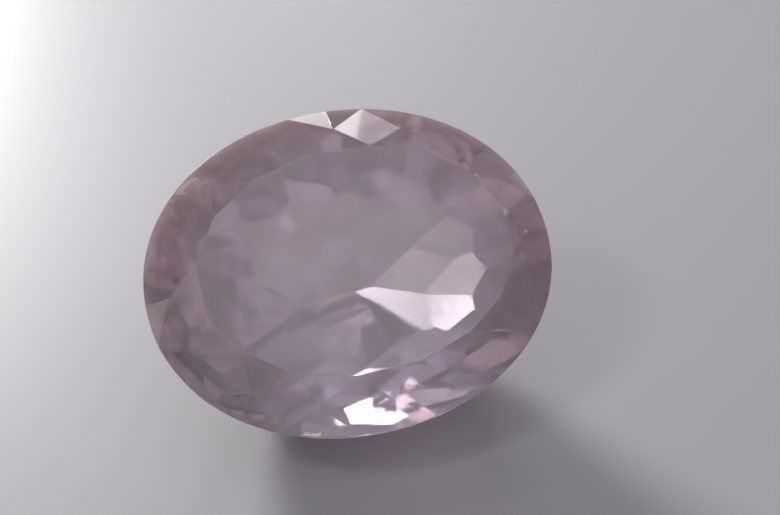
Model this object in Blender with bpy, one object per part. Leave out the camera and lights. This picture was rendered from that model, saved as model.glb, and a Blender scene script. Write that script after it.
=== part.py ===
"""Oval brilliant-cut gem of milky rose quartz, lying on one flat of its pavilion.

The stone is one piece. It starts as an oval prism, the preform, and its facets are ground on
one after another: each is a plane that takes away whatever stands outside it.
The stone's own frame has X along the oval, Y across it and Z up through the table, with zero
at the middle of the girdle. The finished stone is tipped about X until one wide facet of its
culet tier lies flat at Z = 0, and its box is centred on X = 0, Y = 0. Lengths are in metres.
"""

from dataclasses import dataclass
from math import atan2, copysign, cos, pi, radians, sin, tan

import bmesh
import bpy
import numpy as np
from mathutils import Matrix, Vector

NODE_NAME = "rose_quartz"

# The oval, seen square on to the table: a hair fuller at the shoulders than an ellipse
LENGTH = 0.0250
WIDTH = 0.0201
OUTLINE_POWER = 2.06

# The girdle, the thin band at the widest place, and the preform that it is left from
GIRDLE_THICKNESS = 0.00050
GIRDLE_SIDES = 128
PREFORM_TOP = 0.0060
PREFORM_BOTTOM = -0.0140

# The crown: a wide table inside a low ring of kites, stars and girdle facets
CROWN_MAINS = 16
CROWN_HEIGHT = 0.00185
CROWN_WIDTH_SIDE = 0.00315
CROWN_WIDTH_END = 0.00290
STAR_TIP_SHARE = 0.55

# Cut by eye: where the first kite stands, and how the others drift from even steps
FIRST_MAIN_ANGLE = radians(8.65)
DRIFT_ONCE_ROUND = radians(-2.1)
DRIFT_TWICE_ROUND = radians(2.3)

# Grinding: corners this close to a facet's plane count as lying on it
GRIND_TOLERANCE = 0.000002
MERGE_DISTANCE = 0.000004
SHARP_ANGLE = radians(4.0)

STONE_COLOUR = (0.50, 0.33, 0.39, 1.0)
STONE_ROUGHNESS = 0.06
STONE_METALLIC = 0.0


@dataclass(frozen=True)
class Facet:
    """A flat of the stone: a point on it and the direction that it faces."""

    point: Vector
    normal: Vector


@dataclass(frozen=True)
class PavilionTier:
    """One ring of pavilion facets, steeper at the oval's sides than at its ends.

    It starts where the oval has shrunk to outline_share, and first_step turns the ring by
    that share of the step between two of its facets.
    """

    count: int
    first_step: float
    outline_share: float
    slope_side: float
    slope_end: float


# The rings of the pavilion, from the girdle down to the culet
PAVILION = (
    PavilionTier(32, 0.5, 1.000, radians(60.0), radians(58.5)),
    PavilionTier(16, 0.0, 0.860, radians(56.0), radians(56.0)),
    PavilionTier(16, 0.5, 0.560, radians(44.0), radians(40.0)),
    PavilionTier(8, 0.0, 0.500, radians(33.0), radians(35.0)),
)
REST_TILT = PAVILION[-1].slope_side


def signed_power(value, power):
    """Raise a number's size to a power and keep its sign."""
    return copysign(abs(value) ** power, value)


def outline_point(angle, height, share=1.0):
    """Give the point of the oval at an angle, on an outline scaled by share, at a height."""
    across = 2.0 / OUTLINE_POWER
    x = LENGTH / 2 * signed_power(cos(angle), across)
    y = WIDTH / 2 * signed_power(sin(angle), across)
    return Vector((x * share, y * share, height))


def outline_direction(angle):
    """Give the level direction in which the oval faces at an angle."""
    across = 2.0 - 2.0 / OUTLINE_POWER
    x = signed_power(cos(angle), across) / (LENGTH / 2)
    y = signed_power(sin(angle), across) / (WIDTH / 2)
    return Vector((x, y, 0.0)).normalized()


def main_angle(step):
    """Give the angle of a kite on the oval, with the drift of a stone cut by eye."""
    even = FIRST_MAIN_ANGLE + 2 * pi * step / CROWN_MAINS
    return even + DRIFT_ONCE_ROUND * sin(even) + DRIFT_TWICE_ROUND * sin(2 * even)


def crown_width(angle):
    """Give the level distance from girdle to table, which narrows toward the oval's ends."""
    return CROWN_WIDTH_SIDE + (CROWN_WIDTH_END - CROWN_WIDTH_SIDE) * cos(angle) ** 2


def facet_through(first, second, third):
    """Give the facet through three points, facing away from the stone's middle."""
    normal = (second - first).cross(third - first).normalized()
    if normal.dot(first) < 0:
        normal = -normal
    return Facet(first, normal)


def main_facet(angle):
    """Give a kite: it starts at the top of the girdle and climbs to the table's edge."""
    slope = atan2(CROWN_HEIGHT, crown_width(angle))
    normal = outline_direction(angle) * sin(slope) + Vector((0.0, 0.0, cos(slope)))
    return Facet(outline_point(angle, GIRDLE_THICKNESS / 2), normal)


def table_corner(angle):
    """Give the corner of the table at the head of a kite."""
    foot = outline_point(angle, GIRDLE_THICKNESS / 2)
    return foot - outline_direction(angle) * crown_width(angle) + Vector((0.0, 0.0, CROWN_HEIGHT))


def meet_of_mains(first, second):
    """Give the point where two neighbouring kites meet the tip of the star between them."""
    height = GIRDLE_THICKNESS / 2 + CROWN_HEIGHT * STAR_TIP_SHARE
    slopes = Matrix((first.normal.xy, second.normal.xy))
    reach = Vector([
        facet.normal.dot(facet.point) - facet.normal.z * height
        for facet in (first, second)
    ])
    level = slopes.inverted() @ reach
    return Vector((level.x, level.y, height))


def crown_facets():
    """List the facets above the girdle: kites, girdle facets, stars and the table."""
    facets = []
    rim = GIRDLE_THICKNESS / 2
    for step in range(CROWN_MAINS):
        here, after = main_angle(step), main_angle(step + 1)
        kite = main_facet(here)
        tip = meet_of_mains(kite, main_facet(after))
        between = outline_point((here + after) / 2, rim)
        facets.append(kite)
        facets.append(facet_through(outline_point(here, rim), between, tip))
        facets.append(facet_through(outline_point(after, rim), between, tip))
        facets.append(facet_through(table_corner(here), table_corner(after), tip))
    facets.append(Facet(Vector((0.0, 0.0, rim + CROWN_HEIGHT)), Vector((0.0, 0.0, 1.0))))
    return facets


def pavilion_facet(tier, height, angle):
    """Give a facet of a pavilion tier, touching the tier's own scaled outline at a height."""
    slope = tier.slope_side + (tier.slope_end - tier.slope_side) * cos(angle) ** 2
    normal = outline_direction(angle) * sin(slope) - Vector((0.0, 0.0, cos(slope)))
    return Facet(outline_point(angle, height, tier.outline_share), normal)


def pavilion_facets():
    """List the facets below the girdle: each tier starts where the one above it ends."""
    facets = []
    height = -GIRDLE_THICKNESS / 2
    for tier, below in zip(PAVILION, PAVILION[1:] + (None,)):
        for step in range(tier.count):
            angle = 2 * pi * (step + tier.first_step) / tier.count
            facets.append(pavilion_facet(tier, height, angle))
        if below:
            run = (tier.outline_share - below.outline_share) * WIDTH / 2
            height -= run * tan(tier.slope_side)
    return facets


def preform():
    """Make the oval prism that the facets are ground on."""
    stone = bmesh.new()
    corners = [
        stone.verts.new(outline_point(2 * pi * side / GIRDLE_SIDES, PREFORM_BOTTOM))
        for side in range(GIRDLE_SIDES)
    ]
    base = stone.faces.new(corners)
    raised = bmesh.ops.extrude_face_region(stone, geom=[base])["geom"]
    top = [item for item in raised if isinstance(item, bmesh.types.BMVert)]
    bmesh.ops.translate(stone, verts=top, vec=(0.0, 0.0, PREFORM_TOP - PREFORM_BOTTOM))
    bmesh.ops.recalc_face_normals(stone, faces=stone.faces)
    return stone


def grind(stone, facet):
    """Take away what stands outside a facet's plane and close the stone with the facet."""
    everything = stone.verts[:] + stone.edges[:] + stone.faces[:]
    cut = bmesh.ops.bisect_plane(
        stone,
        geom=everything,
        dist=GRIND_TOLERANCE,
        plane_co=facet.point,
        plane_no=facet.normal,
        clear_outer=True,
    )["geom_cut"]
    rim = [item for item in cut if isinstance(item, bmesh.types.BMEdge) and item.is_boundary]
    if rim:
        bmesh.ops.contextual_create(stone, geom=rim)


def cut_stone():
    """Cut the whole stone in its own frame and give its mesh."""
    stone = preform()
    for facet in crown_facets() + pavilion_facets():
        grind(stone, facet)
    bmesh.ops.remove_doubles(stone, verts=stone.verts, dist=MERGE_DISTANCE)
    bmesh.ops.dissolve_degenerate(stone, edges=stone.edges, dist=MERGE_DISTANCE)
    bmesh.ops.recalc_face_normals(stone, faces=stone.faces)
    mesh = bpy.data.meshes.new(NODE_NAME)
    stone.to_mesh(mesh)
    stone.free()
    mesh.shade_smooth()
    mesh.set_sharp_from_angle(angle=SHARP_ANGLE)
    return mesh


def rest_on_facet(gem):
    """Tip the stone until the culet facet on its -Y side is level, and set it on the ground."""
    tip = Matrix.Rotation(REST_TILT, 3, "X")
    corners = np.array([tip @ vertex.co for vertex in gem.data.vertices])
    low, high = corners.min(axis=0), corners.max(axis=0)
    middle = (low + high) / 2
    gem.rotation_euler = tip.to_euler()
    gem.location = (-middle[0], -middle[1], -low[2])


def stone_material():
    """Make the stone's plain material: dusky pink, polished, not metallic."""
    material = bpy.data.materials.new("rose_quartz")
    material.use_nodes = True
    shader = material.node_tree.nodes["Principled BSDF"]
    shader.inputs["Base Color"].default_value = STONE_COLOUR
    shader.inputs["Roughness"].default_value = STONE_ROUGHNESS
    shader.inputs["Metallic"].default_value = STONE_METALLIC
    return material


def build():
    """Build the gem in an empty scene."""
    for item in list(bpy.data.objects):
        bpy.data.objects.remove(item)
    gem = bpy.data.objects.new(NODE_NAME, cut_stone())
    gem.data.materials.append(stone_material())
    bpy.context.scene.collection.objects.link(gem)
    rest_on_facet(gem)


build()
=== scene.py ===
"""Looks of the oval rose quartz gem: worn facet edges, milky pink quartz, floor, light and camera.

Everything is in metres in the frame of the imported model: +X along the oval, +Z up from the
floor, and -Y the way in which the tipped table faces.
"""

import logging
from dataclasses import dataclass, field
from enum import Enum
from math import cos, radians, sin
from typing import Any

import bmesh
import bpy
import numpy as np
from mathutils import Matrix, Vector


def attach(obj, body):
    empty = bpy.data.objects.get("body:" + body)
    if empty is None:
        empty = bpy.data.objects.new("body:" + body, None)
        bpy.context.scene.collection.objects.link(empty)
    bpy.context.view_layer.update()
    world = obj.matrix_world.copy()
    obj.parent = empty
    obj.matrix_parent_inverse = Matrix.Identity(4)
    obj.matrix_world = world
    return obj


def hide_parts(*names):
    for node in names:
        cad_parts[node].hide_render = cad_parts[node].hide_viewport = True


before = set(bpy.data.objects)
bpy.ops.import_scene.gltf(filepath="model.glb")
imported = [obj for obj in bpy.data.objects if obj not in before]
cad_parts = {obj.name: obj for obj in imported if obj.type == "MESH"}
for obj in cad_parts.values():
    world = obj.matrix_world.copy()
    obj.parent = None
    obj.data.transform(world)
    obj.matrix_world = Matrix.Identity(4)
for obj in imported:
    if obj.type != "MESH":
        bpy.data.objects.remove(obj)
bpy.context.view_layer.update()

LOG = logging.getLogger("rose_quartz")

NODE = "rose_quartz"
BODY = "root"

# The tipped stone of the CAD model: the middle of its girdle and the way that its table faces
GIRDLE_CENTRE = Vector((0.0, -0.0000791, 0.0092275))
TABLE_NORMAL = Vector((0.0, -0.544639, 0.838671))

Colour = tuple[float, float, float]
BLACK: Colour = (0.0, 0.0, 0.0)
WHITE: Colour = (1.0, 1.0, 1.0)

# The sockets of a Mix node that mixes colours
MIX_SHARE = 0
MIX_FIRST = 6
MIX_SECOND = 7
MIX_RESULT = 2

# Multiplied with a place, this keeps X and Y and drops the height
LEVEL_ONLY = (1.0, 1.0, 0.0)


@dataclass(frozen=True)
class Socket:
    """A node's output, on which maths can be written as a Python expression.

    Args:
        graph: The graph that new Math nodes go into.
        output: The output itself, or None for a node that has none.
    """

    graph: "Graph"
    output: bpy.types.NodeSocket | None

    def _with(self, operation: str, first: Any, second: Any) -> "Socket":
        """Add a Math node that works on two values.

        Args:
            operation: The Math node's operation.
            first: Its first value, a number or a Socket.
            second: Its second value, a number or a Socket.

        Returns:
            The node's result.
        """
        return self.graph.add(
            "ShaderNodeMath", {"operation": operation}, {0: first, 1: second}, "Value"
        )

    def __add__(self, other: Any) -> "Socket":
        """Give self + other."""
        return self._with("ADD", self, other)

    def __radd__(self, other: Any) -> "Socket":
        """Give other + self."""
        return self._with("ADD", other, self)

    def __sub__(self, other: Any) -> "Socket":
        """Give self - other."""
        return self._with("SUBTRACT", self, other)

    def __rsub__(self, other: Any) -> "Socket":
        """Give other - self."""
        return self._with("SUBTRACT", other, self)

    def __mul__(self, other: Any) -> "Socket":
        """Give self * other."""
        return self._with("MULTIPLY", self, other)

    def __rmul__(self, other: Any) -> "Socket":
        """Give other * self."""
        return self._with("MULTIPLY", other, self)


class Graph:
    """The shader nodes of a material or of the air round the stone."""

    def __init__(self, owner: bpy.types.Material | bpy.types.World) -> None:
        """Empty the owner's graph.

        Args:
            owner: The material or the world that the nodes belong to.
        """
        owner.use_nodes = True
        self.owner = owner
        self.tree = owner.node_tree
        self.tree.nodes.clear()

    def add(
        self, kind: str, settings: dict[str, Any], inputs: dict[Any, Any], output: Any = 0
    ) -> Socket:
        """Add one node: its settings first, then the values or links of its sockets.

        Args:
            kind: The node's type.
            settings: The node's own properties, by name.
            inputs: A number, a tuple or a Socket for each input, by name or index.
            output: The output to give back, by name or index.

        Returns:
            The output asked for, or the first one.
        """
        node = self.tree.nodes.new(kind)
        for name, value in settings.items():
            setattr(node, name, value)
        for name, value in inputs.items():
            if isinstance(value, Socket):
                self.tree.links.new(value.output, node.inputs[name])
            else:
                node.inputs[name].default_value = value
        return Socket(self, node.outputs[output]) if node.outputs else Socket(self, None)

    def noise(self, place: Socket, scale: float, detail: float, roughness: float = 0.5) -> Socket:
        """Add a soft noise from 0 to 1.

        Args:
            place: Where the noise is read.
            scale: Waves per metre.
            detail: How many finer octaves are added.
            roughness: How strong the finer octaves are.

        Returns:
            The noise's value.
        """
        settings = {"noise_dimensions": "3D"}
        inputs = {"Vector": place, "Scale": scale, "Detail": detail, "Roughness": roughness}
        return self.add("ShaderNodeTexNoise", settings, inputs, "Fac")

    def ramp(self, value: Socket, low: float, high: float) -> Socket:
        """Turn a value smoothly from 0 to 1 while it goes from low to high.

        Args:
            value: The value that is read.
            low: The value at which the result is 0. It may be the larger one.
            high: The value at which the result is 1.

        Returns:
            The result, from 0 to 1.
        """
        settings = {"interpolation_type": "SMOOTHSTEP", "clamp": True}
        inputs = {"Value": value, "From Min": low, "From Max": high}
        return self.add("ShaderNodeMapRange", settings, inputs, "Result")

    def blend(self, share: Any, first: Any, second: Any) -> Socket:
        """Mix two colours.

        Args:
            share: How much of the second colour there is, from 0 to 1.
            first: The first colour, a Colour or a Socket.
            second: The second colour, a Colour or a Socket.

        Returns:
            The mixed colour.
        """
        first, second = (c if isinstance(c, Socket) else (*c, 1.0) for c in (first, second))
        settings = {"data_type": "RGBA", "blend_type": "MIX", "clamp_factor": True}
        inputs = {MIX_SHARE: share, MIX_FIRST: first, MIX_SECOND: second}
        return self.add("ShaderNodeMix", settings, inputs, MIX_RESULT)


class Zone(Enum):
    """The part of the stone that a facet belongs to."""

    TABLE = "table"
    CROWN = "crown"
    GIRDLE = "girdle"
    PAVILION = "pavilion"


@dataclass(frozen=True)
class Mottle:
    """A soft random pattern in the stone.

    Args:
        scale: Waves per metre.
        detail: How many finer octaves are added.
        roughness: How strong the finer octaves are.
        low: The noise at which the pattern starts.
        high: The noise at which it is full.
    """

    scale: float
    detail: float
    roughness: float
    low: float
    high: float

    def mask(self, graph: Graph, place: Socket) -> Socket:
        """Give the pattern's mask.

        Args:
            graph: The material's graph.
            place: The place on the stone.

        Returns:
            The mask, from 0 to 1.
        """
        noise = graph.noise(place, self.scale, self.detail, self.roughness)
        return graph.ramp(noise, self.low, self.high)


@dataclass(frozen=True)
class QuartzFinish:
    """Milky, dusky pink quartz with a worn polish.

    The colours, the roughness, the coat and the relief change over the stone. Each other value
    is the same all through it and is set on the shader itself.

    Args:
        milky: Colour of the clouds.
        rosy: Colour between the clouds.
        smoky: Colour toward both ends and the far side.
        chalky: Colour of the pits, which the ground girdle has a share of.
        ior: Index of refraction of quartz.
        transmission: Share of the light that goes on into the stone.
        milkiness: How milky the stone is for the rest of the light, from 0 to 1.
        milk_radius: How far red, green and blue spread in the milk, as shares of its depth.
        milk_depth: How far light spreads in the milk.
        absorption: Colour that light takes on inside the stone.
        absorption_density: How fast it takes that colour on, per metre.
        gloss: Strength of the clear polish on the facets.
        gloss_roughness: Roughness of that polish.
        polish: Roughness of the facets under it.
        haze: Roughness that is added where clouds and wisps meet.
        girdle_roughness: Roughness that is added on the ground girdle.
        girdle_chalk: The girdle's share of the chalky colour.
        clouds: The broad milky clouds.
        wisps: The fine wisps in them.
        wisp_clearing: Share of the smoky colour that a wisp takes away.
        clear_middle: Y of the upright line round which the stone is clearest.
        smoke_start: Level distance from that line at which the smoky colour starts.
        smoke_end: Level distance at which it is full.
        speck_scale: Cells of the pattern of pits per metre.
        speck_size: Radius of a pit, as a share of its cell.
        speck_share: Share of the cells that have no pit.
        speck_core: Share of a pit's radius inside which the pit is full.
        speck_roughness: Roughness that is added in a pit.
        speck_depth: Depth of a pit, as a share of the unevenness.
        unevenness: How far the facets are from flat.
        swell_scale: Waves of that unevenness per metre.
        swell_detail: How many finer octaves it has.
        grain_scale: Waves of the girdle's ground grain per metre.
        grain_detail: How many finer octaves it has.
        grain_height: Height of the grain, as a share of the unevenness.
        relief_strength: Strength of all the relief.
    """

    milky: Colour = (0.86, 0.83, 0.87)
    rosy: Colour = (0.78, 0.72, 0.76)
    smoky: Colour = (0.52, 0.38, 0.39)
    chalky: Colour = (0.92, 0.86, 0.88)
    ior: float = 1.544
    transmission: float = 0.84
    milkiness: float = 1.0
    milk_radius: Colour = (1.0, 0.75, 0.82)
    milk_depth: float = 0.006
    absorption: Colour = (0.68, 0.555, 0.655)
    absorption_density: float = 55.0
    gloss: float = 1.0
    gloss_roughness: float = 0.03
    polish: float = 0.06
    haze: float = 0.03
    girdle_roughness: float = 0.42
    girdle_chalk: float = 0.5
    clouds: Mottle = Mottle(scale=160.0, detail=3.0, roughness=0.55, low=0.36, high=0.66)
    wisps: Mottle = Mottle(scale=620.0, detail=2.0, roughness=0.6, low=0.35, high=0.75)
    wisp_clearing: float = 0.35
    clear_middle: float = -0.0035
    smoke_start: float = 0.0050
    smoke_end: float = 0.0125
    speck_scale: float = 620.0
    speck_size: float = 0.055
    speck_share: float = 0.90
    speck_core: float = 0.5
    speck_roughness: float = 0.5
    speck_depth: float = 0.6
    unevenness: float = 0.000004
    swell_scale: float = 210.0
    swell_detail: float = 1.0
    grain_scale: float = 9000.0
    grain_detail: float = 2.0
    grain_height: float = 0.5
    relief_strength: float = 1.0

    def build(self) -> bpy.types.Material:
        """Make the material.

        Returns:
            The material.
        """
        graph = Graph(bpy.data.materials.new("milky_rose_quartz"))
        place = graph.add("ShaderNodeTexCoord", {}, {}, "Object")
        clouds = self.clouds.mask(graph, place)
        wisps = self.wisps.mask(graph, place)
        specks = self.specks(graph, place)
        girdle = graph.add("ShaderNodeAttribute", {"attribute_name": Zone.GIRDLE.value}, {}, "Fac")
        smoke = self.smoke(graph, place) * (1.0 - self.wisp_clearing * wisps)
        colour = graph.blend(clouds, self.rosy, self.milky)
        colour = graph.blend(smoke, colour, self.smoky)
        colour = graph.blend(girdle * self.girdle_chalk + specks, colour, self.chalky)
        rough = self.polish + self.haze * clouds * wisps
        rough = rough + self.girdle_roughness * girdle + self.speck_roughness * specks
        relief = self.relief(graph, place, specks, girdle)
        shader = graph.add(
            "ShaderNodeBsdfPrincipled",
            {},
            {
                "Base Color": colour,
                "Roughness": rough,
                "Normal": relief,
                "IOR": self.ior,
                "Transmission Weight": self.transmission,
                "Subsurface Weight": self.milkiness,
                "Subsurface Radius": self.milk_radius,
                "Subsurface Scale": self.milk_depth,
                "Coat Weight": self.gloss * (1.0 - girdle),
                "Coat Roughness": self.gloss_roughness,
                "Coat IOR": self.ior,
            },
            "BSDF",
        )
        inside = graph.add(
            "ShaderNodeVolumeAbsorption",
            {},
            {"Color": (*self.absorption, 1.0), "Density": self.absorption_density},
            "Volume",
        )
        graph.add("ShaderNodeOutputMaterial", {}, {"Surface": shader, "Volume": inside})
        return graph.owner

    def smoke(self, graph: Graph, place: Socket) -> Socket:
        """Give the share of smoky mauve: it grows with the level distance from an upright line.

        The line stands off the stone's middle, so both ends and the far side are smokiest.

        Args:
            graph: The material's graph.
            place: The place on the stone.

        Returns:
            The share, from 0 to 1.
        """
        level = graph.add(
            "ShaderNodeVectorMath", {"operation": "MULTIPLY"}, {0: place, 1: LEVEL_ONLY}, "Vector"
        )
        clear = (0.0, self.clear_middle, 0.0)
        reach = graph.add(
            "ShaderNodeVectorMath", {"operation": "DISTANCE"}, {0: level, 1: clear}, "Value"
        )
        return graph.ramp(reach, self.smoke_start, self.smoke_end)

    def specks(self, graph: Graph, place: Socket) -> Socket:
        """Give the mask of the tiny pits, one in a few of the cells of a Voronoi pattern.

        Args:
            graph: The material's graph.
            place: The place on the stone.

        Returns:
            1 inside a pit and 0 elsewhere.
        """
        inputs = {"Vector": place, "Scale": self.speck_scale}
        near = graph.add("ShaderNodeTexVoronoi", {"voronoi_dimensions": "3D"}, inputs, "Distance")
        cell = Socket(graph, near.output.node.outputs["Color"])
        draw = graph.add("ShaderNodeSeparateColor", {}, {0: cell}, "Red")
        chosen = graph.add(
            "ShaderNodeMath", {"operation": "GREATER_THAN"}, {0: draw, 1: self.speck_share}, "Value"
        )
        return graph.ramp(near, self.speck_size, self.speck_core * self.speck_size) * chosen

    def relief(self, graph: Graph, place: Socket, specks: Socket, girdle: Socket) -> Socket:
        """Give the surface's fine relief: facets a hair uneven, pits, and a ground girdle.

        Args:
            graph: The material's graph.
            place: The place on the stone.
            specks: The mask of the pits.
            girdle: 1 on the girdle and 0 elsewhere.

        Returns:
            The normal.
        """
        swell = graph.noise(place, self.swell_scale, self.swell_detail)
        grain = graph.noise(place, self.grain_scale, self.grain_detail) * girdle
        height = swell - self.speck_depth * specks + self.grain_height * grain
        inputs = {
            "Strength": self.relief_strength,
            "Distance": self.unevenness,
            "Height": height,
        }
        return graph.add("ShaderNodeBump", {}, inputs, "Normal")


@dataclass
class Gem:
    """The stone: the CAD solid with its facet edges worn round.

    Args:
        finish: The quartz.
        wear: Width of the strip that wear has left along an edge between two facets.
        wear_angle: Edges flatter than this are not worn.
        weld: Corners nearer than this are one.
        snap: Corners this near to a strip's plane count as lying on it.
        flat_angle: Triangles that meet at less than this belong to one facet.
        girdle_tilt: The girdle's faces stand within this angle of square to the table.
    """

    finish: QuartzFinish = field(default_factory=QuartzFinish)
    wear: float = 0.00004
    wear_angle: float = radians(3.5)
    weld: float = 0.000002
    snap: float = 0.0000005
    flat_angle: float = radians(0.35)
    girdle_tilt: float = radians(4.0)

    def build(self) -> bpy.types.Object:
        """Build the stone and put it in the place of its CAD solid.

        Returns:
            The finished piece.
        """
        stone = self.facets()
        self.wear_edges(stone)
        mesh = bpy.data.meshes.new("quartz_gem")
        stone.to_mesh(mesh)
        stone.free()
        self.mark_zones(mesh)
        mesh.materials.append(self.finish.build())
        piece = bpy.data.objects.new("quartz_gem", mesh)
        bpy.context.scene.collection.objects.link(piece)
        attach(piece, BODY)
        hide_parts(NODE)
        return piece

    def facets(self) -> bmesh.types.BMesh:
        """Copy the CAD solid, merge its corners and join the triangles of each facet.

        Returns:
            The stone with one face for each facet.
        """
        stone = bmesh.new()
        stone.from_mesh(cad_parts[NODE].data)
        bmesh.ops.remove_doubles(stone, verts=stone.verts, dist=self.weld)
        bmesh.ops.dissolve_limit(
            stone, angle_limit=self.flat_angle, verts=stone.verts, edges=stone.edges
        )
        stone.normal_update()
        return stone

    def wear_edges(self, stone: bmesh.types.BMesh) -> None:
        """Grind a narrow strip along each edge where two facets meet at an angle.

        The stone is convex, so a strip is one more plane: it faces midway between the two
        facets and is sunk below their edge until it is as wide as the wear.

        Args:
            stone: The stone, which is changed.
        """
        planes = []
        for edge in stone.edges:
            turn = edge.calc_face_angle()
            if turn > self.wear_angle:
                normal = (edge.link_faces[0].normal + edge.link_faces[1].normal).normalized()
                middle = (edge.verts[0].co + edge.verts[1].co) / 2
                planes.append((middle - normal * (self.wear / 2) * sin(turn / 2), normal))
        for point, normal in planes:
            everything = stone.verts[:] + stone.edges[:] + stone.faces[:]
            bmesh.ops.bisect_plane(
                stone,
                geom=everything,
                dist=self.snap,
                plane_co=point,
                plane_no=normal,
                clear_outer=True,
            )
            rim = [edge for edge in stone.edges if edge.is_boundary]
            if rim:
                bmesh.ops.contextual_create(stone, geom=rim)
        bmesh.ops.recalc_face_normals(stone, faces=stone.faces)

    def mark_zones(self, mesh: bpy.types.Mesh) -> None:
        """Mark the faces of each zone with a share of 1 in an attribute of the zone's name.

        Args:
            mesh: The stone's mesh.
        """
        count = len(mesh.polygons)
        normals = np.empty(count * 3)
        mesh.polygons.foreach_get("normal", normals)
        lean = normals.reshape(-1, 3) @ np.array(TABLE_NORMAL)
        upright = np.abs(lean) < sin(self.girdle_tilt)
        shares = {
            Zone.TABLE: lean > cos(self.girdle_tilt),
            Zone.GIRDLE: upright,
            Zone.CROWN: (lean > 0) & ~upright,
            Zone.PAVILION: (lean < 0) & ~upright,
        }
        for zone, share in shares.items():
            layer = mesh.attributes.new(zone.value, "FLOAT", "FACE")
            layer.data.foreach_set("value", share.astype(np.float32))
        LOG.info("facets: %s", {zone.value: int(share.sum()) for zone, share in shares.items()})


@dataclass(frozen=True)
class FloorFinish:
    """Plain, pale, satin surface.

    Args:
        colour: Its colour.
        roughness: Its roughness.
    """

    colour: Colour = (0.29, 0.282, 0.292)
    roughness: float = 0.43

    def build(self) -> bpy.types.Material:
        """Make the material.

        Returns:
            The material.
        """
        graph = Graph(bpy.data.materials.new("pale_floor"))
        inputs = {"Base Color": (*self.colour, 1.0), "Roughness": self.roughness}
        shader = graph.add("ShaderNodeBsdfPrincipled", {}, inputs, "BSDF")
        graph.add("ShaderNodeOutputMaterial", {}, {"Surface": shader})
        return graph.owner


@dataclass
class Floor:
    """The plain pale floor under the stone.

    Args:
        finish: Its surface.
        reach: How far it goes from the stone each way.
        gap: Film of air under the stone's lowest facet, which keeps that facet a mirror inside.
    """

    finish: FloorFinish = field(default_factory=FloorFinish)
    reach: float = 1.5
    gap: float = 0.00003

    def build(self) -> bpy.types.Object:
        """Build the floor.

        Returns:
            The floor, marked as stage.
        """
        corners = [(-1, -1), (1, -1), (1, 1), (-1, 1)]
        points = [(x * self.reach, y * self.reach, -self.gap) for x, y in corners]
        mesh = bpy.data.meshes.new("floor")
        mesh.from_pydata(points, [], [(0, 1, 2, 3)])
        mesh.materials.append(self.finish.build())
        floor = bpy.data.objects.new("floor", mesh)
        bpy.context.scene.collection.objects.link(floor)
        return floor


def direction(azimuth: float, elevation: float) -> Vector:
    """Give a direction in the room as it is seen from the stone.

    Args:
        azimuth: Its angle from +Y toward +X, in degrees.
        elevation: Its height above the floor, in degrees.

    Returns:
        The direction, of length 1.
    """
    turn, rise = radians(azimuth), radians(elevation)
    return Vector((sin(turn) * cos(rise), cos(turn) * cos(rise), sin(rise)))


@dataclass(frozen=True)
class SoftLight:
    """A soft rectangular light that faces the stone.

    Args:
        name: Its name.
        azimuth: Its direction from the stone, in degrees from +Y toward +X.
        elevation: Its height above the floor, in degrees.
        width: Its width.
        height: Its height.
        power: Its power in watts.
        colour: Its colour.
        distance: Its distance from the stone.
    """

    name: str
    azimuth: float
    elevation: float
    width: float
    height: float
    power: float
    colour: Colour = WHITE
    distance: float = 0.60

    def build(self) -> bpy.types.Object:
        """Hang the light.

        Returns:
            The light.
        """
        way = direction(self.azimuth, self.elevation)
        lamp = bpy.data.lights.new(self.name, "AREA")
        lamp.shape = "RECTANGLE"
        lamp.size, lamp.size_y = self.width, self.height
        lamp.energy, lamp.color = self.power, self.colour
        light = bpy.data.objects.new(self.name, lamp)
        light.location = GIRDLE_CENTRE + way * self.distance
        light.rotation_euler = (-way).to_track_quat("-Z", "Y").to_euler()
        bpy.context.scene.collection.objects.link(light)
        return light


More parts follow.
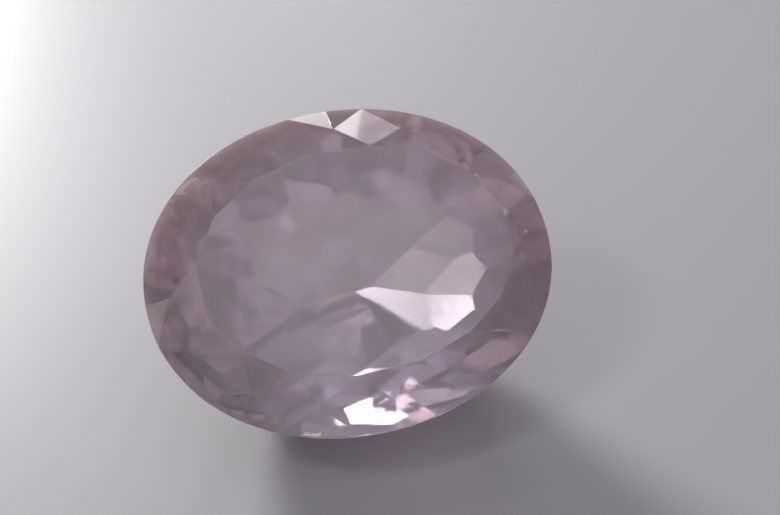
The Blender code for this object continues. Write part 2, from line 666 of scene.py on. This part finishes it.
@dataclass(frozen=True)
class Air:
    """The even light from all round, brighter high up on one side, where it has a soft shade.

    Args:
        lit: Its colour on the bright side.
        dim: Its colour on the other side.
        strength: Its strength.
        azimuth: The middle of the bright side, in degrees from +Y toward +X.
        elevation: The height of that middle above the floor, in degrees.
        turn_from: Cosine of the angle from that middle at which the air is dim.
        turn_to: Cosine of the angle at which it is bright.
        shade_azimuth: The middle of the shade, measured in the same way.
        shade_elevation: The height of the shade's middle above the floor, in degrees.
        shade_from: Cosine of the angle from the shade's middle at which it starts.
        shade_to: Cosine of the angle at which it is full.
        shade_share: The share of the light that the full shade keeps off.
    """

    lit: Colour = (0.97, 0.97, 1.08)
    dim: Colour = (0.36, 0.34, 0.385)
    strength: float = 0.80
    azimuth: float = -155.0
    elevation: float = 51.0
    turn_from: float = 0.50
    turn_to: float = 0.92
    shade_azimuth: float = -160.6
    shade_elevation: float = 41.4
    shade_from: float = 0.914
    shade_to: float = 0.97
    shade_share: float = 0.65

    def build(self) -> None:
        """Fill the world with the air's light."""
        graph = Graph(bpy.data.worlds.new("studio_air"))
        way = graph.add("ShaderNodeTexCoord", {}, {}, "Generated")
        bright = self.nearness(graph, way, self.azimuth, self.elevation)
        colour = graph.blend(graph.ramp(bright, self.turn_from, self.turn_to), self.dim, self.lit)
        near = self.nearness(graph, way, self.shade_azimuth, self.shade_elevation)
        shade = graph.ramp(near, self.shade_from, self.shade_to) * self.shade_share
        colour = graph.blend(shade, colour, BLACK)
        inputs = {"Color": colour, "Strength": self.strength}
        light = graph.add("ShaderNodeBackground", {}, inputs, "Background")
        graph.add("ShaderNodeOutputWorld", {}, {"Surface": light})
        bpy.context.scene.world = graph.owner

    def nearness(self, graph: Graph, way: Socket, azimuth: float, elevation: float) -> Socket:
        """Give the cosine of the angle between the way looked and a direction.

        Args:
            graph: The world's graph.
            way: The way looked.
            azimuth: The direction, in degrees from +Y toward +X.
            elevation: Its height above the floor, in degrees.

        Returns:
            The cosine.
        """
        middle = tuple(direction(azimuth, elevation))
        return graph.add(
            "ShaderNodeVectorMath", {"operation": "DOT_PRODUCT"}, {0: way, 1: middle}, "Value"
        )


@dataclass
class Studio:
    """The soft studio light round the stone.

    The window lights stand behind the stone, light the floor there and shine through the stone.
    The others are small, and each shows in a few of the facets that are seen through the table.

    Args:
        lights: The lights.
        air: The even light from all round.
    """

    lights: tuple[SoftLight, ...] = (
        SoftLight("window_strip", 19.9, 38.0, 0.13, 0.045, 0.060),
        SoftLight("strip_tail", 28.5, 37.5, 0.045, 0.045, 0.009, (1.0, 0.88, 0.92)),
        SoftLight("back_window", -10.0, 22.0, 0.14, 0.14, 5.5),
        SoftLight("low_window", 2.0, 6.0, 0.33, 0.05, 0.25),
        SoftLight("back_spot", 17.0, 26.0, 0.10, 0.10, 0.30),
        SoftLight("edge_spot", -22.0, 18.5, 0.06, 0.06, 0.005),
        SoftLight("near_spot", 34.5, 35.5, 0.06, 0.06, 0.10),
        SoftLight("fan_spot", 42.0, 75.0, 0.08, 0.08, 0.014),
        SoftLight("fan_low_spot", 178.0, 70.0, 0.05, 0.05, 0.004),
        SoftLight("low_spot", 121.0, 56.5, 0.07, 0.07, 0.05),
        SoftLight("left_spot", -95.0, 52.0, 0.046, 0.046, 0.15),
        SoftLight("left_high", -86.5, 50.0, 0.09, 0.09, 0.45),
        SoftLight("left_low", -97.0, 18.0, 0.24, 0.14, 0.08),
    )
    air: Air = field(default_factory=Air)

    def build(self) -> None:
        """Hang the lights and fill the air with even light."""
        for light in self.lights:
            light.build()
        self.air.build()
        bpy.context.scene.view_settings.view_transform = "Standard"


@dataclass
class PhotoCamera:
    """The camera, which looks down on the tipped table as the photo does.

    Args:
        frame_width: The picture's width in pixels.
        frame_height: The picture's height in pixels.
        focal_pixels: The focal length in pixels.
        yaw: The way that it looks, in degrees from +Y toward +X.
        pitch: How far it looks down, in degrees.
        distance: Its distance from the middle of the girdle, along its line of sight.
        middle_x: The pixel column where the middle of the girdle shows.
        middle_y: The pixel row where the middle of the girdle shows.
        sensor: The sensor's width in millimetres.
        nearest: Nothing nearer to it than this shows.
    """

    frame_width: int = 780
    frame_height: int = 515
    focal_pixels: float = 1500.0
    yaw: float = 19.4
    pitch: float = 41.4
    distance: float = 0.090
    middle_x: float = 352.6
    middle_y: float = 268.3
    sensor: float = 36.0
    nearest: float = 0.001

    def build(self) -> bpy.types.Object:
        """Set the camera up.

        Returns:
            The camera.
        """
        turn, dip = radians(self.yaw), radians(self.pitch)
        right = Vector((cos(turn), -sin(turn), 0.0))
        up = Vector((sin(dip) * sin(turn), sin(dip) * cos(turn), cos(dip)))
        ahead = Vector((cos(dip) * sin(turn), cos(dip) * cos(turn), -sin(dip)))
        pixel = self.distance / self.focal_pixels
        across = (self.middle_x - self.frame_width / 2) * pixel
        above = (self.frame_height / 2 - self.middle_y) * pixel
        place = GIRDLE_CENTRE - right * across - up * above - ahead * self.distance
        lens = bpy.data.cameras.new("photo_camera")
        lens.sensor_width = self.sensor
        lens.lens = self.focal_pixels / self.frame_width * self.sensor
        lens.clip_start = self.nearest
        camera = bpy.data.objects.new("photo_camera", lens)
        axes = Matrix((right, up, -ahead)).transposed()
        camera.matrix_world = Matrix.Translation(place) @ axes.to_4x4()
        bpy.context.scene.collection.objects.link(camera)
        bpy.context.scene.camera = camera
        return camera


def main() -> None:
    """Build the camera, the stone, the floor and the light, and report each piece."""
    logging.basicConfig(level=logging.INFO, format="%(name)s: %(message)s")
    camera = PhotoCamera().build()
    LOG.info("camera: lens %.2f mm", camera.data.lens)
    gem = Gem().build()
    LOG.info("%s: %d corners, %d faces", gem.name, len(gem.data.vertices), len(gem.data.polygons))
    floor = Floor().build()
    LOG.info("%s: stage", floor.name)
    Studio().build()


if __name__ == "__main__":
    main()
